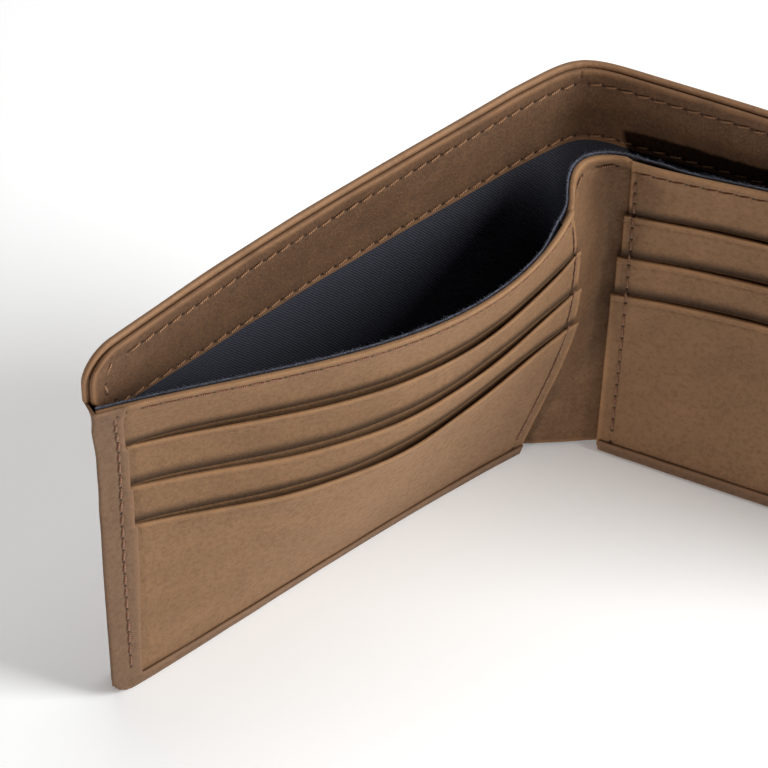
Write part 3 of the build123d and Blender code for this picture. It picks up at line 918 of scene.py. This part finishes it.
def make_back(wing):
    """The four layers of one half of the back, and the thread that joins them."""
    name, inside = wing.name, FACING[1] - 0.02

    def foot(x):
        return TURN_BULGE * rise(np.abs(x - MIDDLE), SPINE_LIFT_SPAN - 4, SPINE_LIFT_SPAN)

    def outside(x, z):
        e = from_tip(wing, x)
        line = bump(z, RIM_STITCH_Z, 0.5) * (e > 3) + bump(e, SIDE_STITCH_INSET, 0.5) * (z < 88)
        return 0.1 * ripple(x, z, 11) - 0.1 * line

    def face(x, z):
        e = from_tip(wing, x)
        pad = 0.22 * rise(z, RIM_STITCH_Z + 0.3, RIM_STITCH_Z + 1.6) + 0.2 * rise(e, SIDE_STITCH_INSET, 2.0)
        seam = bump(z, RIM_STITCH_Z, 0.5) + bump(z, FACING_STITCH_Z, 0.5)
        crease = bump(x, APEX, 0.35) * rise(z, RIM_STITCH_Z, RIM_STITCH_Z + 2)
        return pad - 0.16 * seam - 0.2 * crease + 0.12 * ripple(x, z, 3)

    outer = back_sheet(
        wing, f"{name}_outer_leather", (0.0, COVER_HEIGHT), COVER, corner=(BOTTOM_RADIUS, TOP_RADIUS),
        edge=0.6, lines=(RIM_STITCH_Z,), low_edge=foot, rear_relief=outside, stitched=rim_holes(wing),
    )
    dressed(outer, COVER_LEATHER, f"{name}_cover", "spine_cover")
    stiff = back_sheet(wing, f"{name}_fibre_board", (2.5, COVER_HEIGHT - 2.5), BOARD, inset=2.5,
                       corner=(4, 5), edge=0.07, step=3.0)
    dressed(stiff, FIBRE_BOARD, f"{name}_stiffener")
    cloth = back_sheet(wing, f"{name}_cash_lining", (2.0, FACING_START + 2), LINING, inset=2.0, edge=0.15,
                       relief=lambda x, z: 0.06 * ripple(x, z, 5, 9.0))
    dressed(cloth, LINING_TWILL, f"{name}_back_lining", "spine_lining")
    start, end = half_span(wing, 2.0)
    trim = back_sheet(
        wing, f"{name}_top_facing", (FACING_START, COVER_HEIGHT - RIM_INSET), FACING, inset=RIM_INSET,
        corner=(0.5, TOP_RADIUS - RIM_INSET), edge=0.42, lines=(RIM_STITCH_Z, FACING_STITCH_Z), step=0.8,
        posts=(APEX,), relief=face, stitched=nearest_holes(rim_holes(wing), level_holes(FACING_STITCH_Z)),
    )
    dressed(trim, FACING_LEATHER, f"{name}_facing", "spine_facing")

    rim_thread = stitches(f"{name}_rim_thread", BACK, rim_places(wing, inside, COVER[0]), TAN_THREAD,
                          f"{name}_cover_stitches", "spine_stitches")
    facing_row = level_places(*half_span(wing, 6.0), FACING_STITCH_Z, inside)
    facing_thread = stitches(f"{name}_facing_thread", BACK, facing_row, TAN_THREAD, f"{name}_facing_stitches")
    for piece in (outer, stiff, cloth, trim, rim_thread, facing_thread):
        bend_with(piece, wing)


# ---- The fronts: card panel, pockets, lining and turned edge ----

# Each pocket: its faces, where it starts along the front, its foot and mouth, and its ripple's seed
POCKETS = {
    "upper": (UPPER_POCKET, 1.3, UPPER_MOUTH - POCKET_STRIP, UPPER_MOUTH, 51),
    "middle": (MIDDLE_POCKET, 0.6, MIDDLE_MOUTH - POCKET_STRIP, MIDDLE_MOUTH, 52),
    "lower": (LOWER_POCKET, 0.0, TURN_BULGE, LOWER_MOUTH, 53),
}
PANEL_STEP = 2.0
# The feet of the cloths that hang from the two upper pockets
CLOTH_FEET = {"upper": 16.0, "middle": 5.0}
# How far each pocket's mouth stands off the sheet behind it
GAPE = {"left": 1.7, "right": 0.75}
GAPE_DEPTH = 9.0
FRAY_ROOT = -1.05


def top_pad(z):
    """The turned top edge of the panel and of the gusset stands a little proud of its face."""
    return 0.3 * rise(z, PANEL_STITCH_Z + 0.3, PANEL_STITCH_Z + 1.4)


def top_swell(z):
    """From 0 to 1 over the turned edge's back, which pushes the lining away."""
    return rise(z, PANEL_STITCH_Z, PANEL_STITCH_Z + 1.4)


def mouth_lift(surface, mouth, amount):
    """A pocket stands open at its mouth, most in the middle of its width."""
    def at(x, z):
        share = np.clip(x / surface.length, 0.03, 0.93)
        across = np.sin(math.pi * (share - 0.03) / 0.9) ** 0.6
        return amount * across * rise(z, mouth - GAPE_DEPTH, mouth) * (0.85 + 0.15 * ripple(x, z, 21))
    return at


def make_pocket(wing, label):
    """A card pocket: its mouth is turned over and creased, and its foot is hidden."""
    surface = FRONT[wing.name]
    layer, start, foot, mouth, seed = POCKETS[label]

    def face(x, z):
        crease = bump(z, mouth - 1.9, 0.28)
        roll = 0.13 * rise(z, mouth - 1.7, mouth - 0.9)
        seam = bump(x, FOLD_STITCH_INSET, 0.5)
        return roll - 0.18 * crease - 0.1 * seam + 0.09 * ripple(x, z, seed)

    piece = sheet(
        f"{wing.name}_{label}_pocket", surface, (start, surface.length - 1.5), (foot, mouth), layer,
        lines=(mouth - 1.9,), posts=(FOLD_STITCH_INSET,), relief=face,
        lift=mouth_lift(surface, mouth, GAPE[wing.name]), stitched=upright_holes(FOLD_STITCH_INSET),
    )
    return dressed(piece, POCKET_LEATHER, f"{wing.name}_pocket_{label}")


def make_backing(wing, label):
    """The cloth that hangs from a pocket's strip, behind the pocket below."""
    layer, _, strip_foot, _, _ = POCKETS[label]
    length, middle = FRONT[wing.name].length, sum(layer) / 2
    span, low, high = (0.06 * length, 0.93 * length), CLOTH_FEET[label], strip_foot - 0.1
    cloth = sheet(f"{wing.name}_{label}_pocket_backing", FRONT[wing.name], span, (low, high),
                  (middle - 0.1, middle + 0.1), edge=0.1, step=3.0)
    dressed(cloth, POCKET_CLOTH, f"{wing.name}_pocket_cloths")
    return cloth


def behind_gusset(surface, x):
    """A front's lining meets the gusset's lining, which lies behind the gusset's leather."""
    start = surface.length * GUSSET_FLANGE_SHARE
    return GUSSET_BEHIND * rise(x, start + 10.0, start + 0.8)


def fold_offset(z):
    """The outermost face at the fold's seam, at a height."""
    for layer, _, _, mouth, _ in reversed(POCKETS.values()):
        if z < mouth + 0.6:
            return layer[1]
    return PANEL[1]


def make_front(wing):
    """The stack of one front: lining, card panel, three pockets, their backing cloth and thread."""
    name, surface = wing.name, FRONT[wing.name]
    tip, lining_start = surface.length, surface.length * GUSSET_FLANGE_SHARE

    def face(x, z):
        seam = bump(z, PANEL_STITCH_Z, 0.45) + bump(x, FOLD_STITCH_INSET, 0.5) * (z < PANEL_STITCH_Z)
        return top_pad(z) - 0.15 * seam + 0.1 * ripple(x, z, 31)

    panel = sheet(
        f"{name}_card_panel", surface, (PANEL_STEP, tip - 1.0), (TURN_BULGE, PANEL_HEIGHT), PANEL, edge=0.45,
        lines=(PANEL_STITCH_Z,), posts=(FOLD_STITCH_INSET,), relief=face,
        rear_relief=lambda x, z: 0.2 * top_swell(z),
        stitched=nearest_holes(level_holes(PANEL_STITCH_Z), upright_holes(FOLD_STITCH_INSET)),
    )
    dressed(panel, POCKET_LEATHER, f"{name}_card_base")
    cloth = sheet(
        f"{name}_panel_lining", surface, (lining_start, tip - 1.2), (2.0, PANEL_HEIGHT + 0.3), PANEL_LINING,
        edge=0.14, ragged=0.16, open_ends=(True, False),
        lift=lambda x, z: -0.3 * top_swell(z) + behind_gusset(surface, x),
        relief=lambda x, z: 0.04 * ripple(x, z, 41, 6.0),
    )
    dressed(cloth, LINING_TWILL, f"{name}_front_lining")
    pieces = [panel, cloth, *(make_pocket(wing, label) for label in POCKETS)]
    pieces += [make_backing(wing, label) for label in CLOTH_FEET]
    top_row = level_places(FOLD_STITCH_INSET, tip - 7.5, PANEL_STITCH_Z, PANEL[1])
    fold_row = upright_places(FOLD_STITCH_INSET, 4.0, PANEL_STITCH_Z - 1.0, fold_offset)
    pieces.append(stitches(f"{name}_panel_thread", surface, top_row, BROWN_THREAD, f"{name}_panel_stitches"))
    pieces.append(stitches(f"{name}_fold_thread", surface, fold_row, BROWN_THREAD, f"{name}_fold_stitches",
                           slant=4.0))
    pieces.append(make_fray(f"{name}_lining_fray", surface, lining_start, tip - 7.0, 900,
                            lambda x: FRAY_ROOT + behind_gusset(surface, x)))
    for piece in pieces:
        go_with_front(piece, wing)

    side_places = upright_places(tip - SIDE_STITCH_INSET, 5.5, PANEL_HEIGHT - 0.5,
                                 lambda z: strip_height(z) + TURNED_EDGE_HALF - 0.06)
    side_thread = stitches(f"{name}_side_thread", surface, side_places, BROWN_THREAD,
                           f"{name}_side_stitches", slant=5.0)
    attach(side_thread, f"{name}_wing")


def make_fray(name, surface, start, end, count, root_at):
    """Loose fibres along the cut top edge of a lining."""
    points, faces = [], []
    for _ in range(count):
        x = RANDOM.uniform(start, end)
        height = RANDOM.uniform(0.4, 1.25)
        lean, tilt = RANDOM.normal(0, 0.35), RANDOM.normal(-0.1, 0.2)
        root, width = root_at(x) + RANDOM.normal(0, 0.1), RANDOM.uniform(0.035, 0.07)
        first = len(points)
        for t in (0.0, 0.5, 1.0):
            place = np.array(x + lean * t * t), np.array(PANEL_HEIGHT - 0.2 + height * t)
            here, radius = surface.on(*place, root + tilt * t * t), width * (1 - 0.75 * t)
            points += [here + radius * np.array([math.cos(a), math.sin(a), 0]) for a in (0, 2.1, 4.2)]
        for r in (0, 3):
            for k in range(3):
                a, b = first + r + k, first + r + (k + 1) % 3
                faces.append([a, b, b + 3, a + 3])
        faces += [[first + 2, first + 1, first], [first + 6, first + 7, first + 8]]
    points = np.array(points)
    flat = np.stack([points[:, 0], points[:, 2]], axis=1)
    return dressed(mesh_object(name, points, faces, {"flat": flat}, np.zeros(len(points))), LINING_TWILL)


def strip_width(z):
    """The side strip is a little wider below each pocket mouth, and narrows again at its foot."""
    steps = sum(rise(z, mouth + 0.25, mouth - 0.25) for mouth in MOUTHS)
    return 5.7 + 0.6 * steps - 0.7 * rise(z, LOWER_MOUTH - 10.0, 0.0)


def strip_height(z):
    """How far off the front's surface the turned edge's middle lies: it has one sheet fewer under
    it above each pocket mouth."""
    height, behind = PANEL[1] + TURNED_EDGE_HALF + TURNED_EDGE_CLEAR, PANEL
    for layer, _, _, mouth, _ in POCKETS.values():
        height = height + (layer[1] - behind[1]) * rise(z, mouth + 9.0, mouth + 0.3)
        behind = layer
    return height


# The turned edge's fine steps: round the foot's corner, from its inner edge, and over the rim
CORNER_STEPS = np.radians(np.linspace(0, 90, 61)[1:])
LIP = np.concatenate([rounding(0.04, 4), np.linspace(0.08, 1, 11)])
OVER_RIM = np.linspace(0, math.pi, 15)[1:]
TUCKED_BEHIND = (0.35, 0.8, 1.2)
PLEATS = (14, 34, 52, 76)
CORNER_SPREAD = 0.5


def make_turned_edge(wing):
    """The outer leather's edge, turned over the tip and the foot onto the front, and pleated at
    the corner. Its grid runs along the outline and across from the inner edge to the back."""
    name, surface = wing.name, FRONT[wing.name]
    length, radius, top = surface.length, TURNED_EDGE_RADIUS, PANEL_HEIGHT + 0.1
    foot = positions(radius, length - 0.5, 1.0, (), rounding(0.3), ())[::-1]
    up = positions(radius + TURN_BULGE, top, 0.8, (), rounding(0.3), MOUTHS)[1:]
    sine, cosine, inner = np.sin(CORNER_STEPS), np.cos(CORNER_STEPS), strip_width(0.0) + CORNER_SPREAD
    outer_e = np.concatenate([foot, radius - radius * sine, np.zeros(len(up))])
    outer_z = np.concatenate([np.full(len(foot), TURN_BULGE), radius + TURN_BULGE - radius * cosine, up])
    inner_e = np.concatenate([np.maximum(foot, inner), inner - CORNER_SPREAD * sine, strip_width(up)])
    corner_z = BOTTOM_BAND + CORNER_SPREAD - CORNER_SPREAD * cosine
    inner_z = np.concatenate([np.full(len(foot), BOTTOM_BAND), corner_z, up])
    facing_out = np.concatenate([np.zeros(len(foot)), CORNER_STEPS, np.full(len(up), math.pi / 2)])
    reach = np.hypot(outer_e - inner_e, outer_z - inner_z)
    path = np.concatenate([[0], np.cumsum(np.hypot(np.diff(outer_e), np.diff(outer_z)))])
    drawn_in = 0.8 * rise(outer_z, top - 7.0, top)
    bulge = TURN_BULGE - TURNED_EDGE_HALF + (TIP_BULGE - TURN_BULGE + TURNED_EDGE_HALF) * np.sin(facing_out)
    creased = sum(bump(np.degrees(facing_out), at, 5.0) for at in PLEATS)

    columns, lip_e, lip_z = [], [], []
    for c in LIP:
        e, z = inner_e + (outer_e - inner_e) * c, inner_z + (outer_z - inner_z) * c
        seam = bump(e, SIDE_STITCH_INSET, 0.45) * (z > 5)
        height = strip_height(z) - 0.3 * creased * c**0.5 * (1 - 0.8 * c**4) - 0.12 * seam
        columns.append(surface.on(length - e - drawn_in, z, height + 0.06 * ripple(length - e, z, 61)))
        lip_e.append(e)
        lip_z.append(z)

    def back_point(e, z, offset):
        x = from_tip(wing, np.minimum(e, length - PANEL_STEP - 0.6) + drawn_in)
        return BACK.on(tucked_in(wing)(x, z), z, np.full(len(e), offset))

    tuck_offset = -TURNED_EDGE_HALF * 0.6
    back_rim = back_point(outer_e, outer_z, tuck_offset)
    middle, arm = (columns[-1] + back_rim) / 2, (columns[-1] - back_rim) / 2
    out = np.outer(np.sin(facing_out), [*wing.along, 0.0]) + np.outer(np.cos(facing_out), [0, 0, -1])
    for a in OVER_RIM:
        c, s = np.sign(np.cos(a)) * abs(np.cos(a)) ** 0.6, np.sin(a) ** 0.6
        columns.append(middle + arm * c + out * (bulge * s)[:, None])
    for d in TUCKED_BEHIND:
        e, z = outer_e + d * np.sin(facing_out), outer_z + d * np.cos(facing_out)
        columns.append(back_point(e, z, tuck_offset * (1 - d / TUCKED_BEHIND[-1])))
    grid = np.stack(columns, axis=1)

    normal = np.cross(np.gradient(grid, axis=0), np.gradient(grid, axis=1))
    normal /= np.maximum(np.linalg.norm(normal, axis=-1, keepdims=True), 1e-9)
    hidden = len(OVER_RIM) + len(TUCKED_BEHIND)
    across = np.concatenate([np.outer(reach, LIP), np.repeat(reach[:, None] + 1, hidden, axis=1)], axis=1)
    border = np.minimum(across, np.minimum(path, path[-1] - path)[:, None])
    half = TURNED_EDGE_HALF * np.sqrt(1 - (1 - np.clip(border / 0.27, 0, 1)) ** 2)
    half[:, -4:] *= (0.8, 0.55, 0.3, 0.0)
    lip_e = np.pad(np.stack(lip_e, axis=1), ((0, 0), (0, hidden)), constant_values=-9.0)
    lip_z = np.pad(np.stack(lip_z, axis=1), ((0, 0), (0, hidden)), mode="edge")
    coordinates = {
        "flat": np.stack([np.broadcast_to(path[:, None], across.shape), across], axis=-1),
        "stitch": np.stack([lip_z / PITCH, np.where(lip_z > 5, lip_e - SIDE_STITCH_INSET, 9.0)], axis=-1),
    }
    face, rear = (grid + side * normal * half[..., None] for side in (1, -1))
    piece = shell(f"{name}_turned_edge", rear, face, (False, False), coordinates, border)
    dressed(piece, BAND_LEATHER, f"{name}_side_band", f"{name}_bottom_band")
    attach(piece, f"{name}_wing")


# ---- The centre gusset ----

GUSSET_SPLIT = 0.56
GUSSET_FLANGE_LENGTH = (GUSSET_FLANGE_SHARE - GUSSET_SHARE) * FRONT["right"].length
GUSSET_FOOT = 0.3
GUSSET_ARCH = 0.6
GUSSET_FLANGE_TRIM = 28.0
GUSSET_LINING_FOOT = GUSSET_FOOT + 3.5


def make_gusset():
    """The channel between the two fronts, its lining and the thread along its top."""
    total, split = GUSSET.length, GUSSET_SPLIT * GUSSET.length
    hidden = GUSSET_FLANGE_SHARE * 100

    def trim(x):
        """The foot of the left flange is cut away, so that it stays inside the closed wallet."""
        return GUSSET_FLANGE_TRIM * np.clip(1 - x / GUSSET_FLANGE_LENGTH, 0, 1)

    def arch(x):
        return GUSSET_ARCH * np.sin(math.pi * np.clip(x / total, 0, 1)) ** 2 + trim(x)

    def flange_drop(x):
        return 1.3 * rise(np.minimum(x, total - x), GUSSET_FLANGE_LENGTH, GUSSET_FLANGE_LENGTH - 1.5)

    def face(x, z):
        return top_pad(z) - 0.15 * bump(z, PANEL_STITCH_Z, 0.45) + 0.12 * ripple(x, z, 71, 9.0)

    for side, span, row in (("left", (0.0, split), (hidden, split)),
                            ("right", (split, total), (split, total - hidden))):
        skin = sheet(
            f"gusset_{side}_leather", GUSSET, span, (GUSSET_FOOT, PANEL_HEIGHT), PANEL, edge=0.45, step=0.7,
            lines=(PANEL_STITCH_Z,), low_edge=arch, top_drop=flange_drop, relief=face,
            open_ends=(side == "right", side == "left"), rear_relief=lambda x, z: 0.2 * top_swell(z),
            stitched=level_holes(PANEL_STITCH_Z),
        )
        dressed(skin, SHADED_GUSSET_LEATHER, "centre_gusset")
        cloth = sheet(
            f"gusset_{side}_lining", GUSSET, span, (GUSSET_LINING_FOOT, PANEL_HEIGHT + 0.3), PANEL_LINING,
            edge=0.14, step=0.8, open_ends=(True, True), ragged=0.12, low_edge=trim,
            lift=lambda x, z: -0.3 * top_swell(z),
        )
        dressed(cloth, LINING_TWILL, "gusset_lining")
        seam = stitches(f"gusset_{side}_thread", GUSSET, level_places(*row, PANEL_STITCH_Z, 0.0),
                        BROWN_THREAD, "gusset_stitches")
        fray = make_fray(f"gusset_{side}_lining_fray", GUSSET, *span, 130, lambda x: FRAY_ROOT)
        for piece in (skin, cloth, seam, fray):
            go_with_gusset(piece, side)


add_camera()
add_studio()
for half in (LEFT, RIGHT):
    make_back(half)
    make_front(half)
    make_turned_edge(half)
make_gusset()
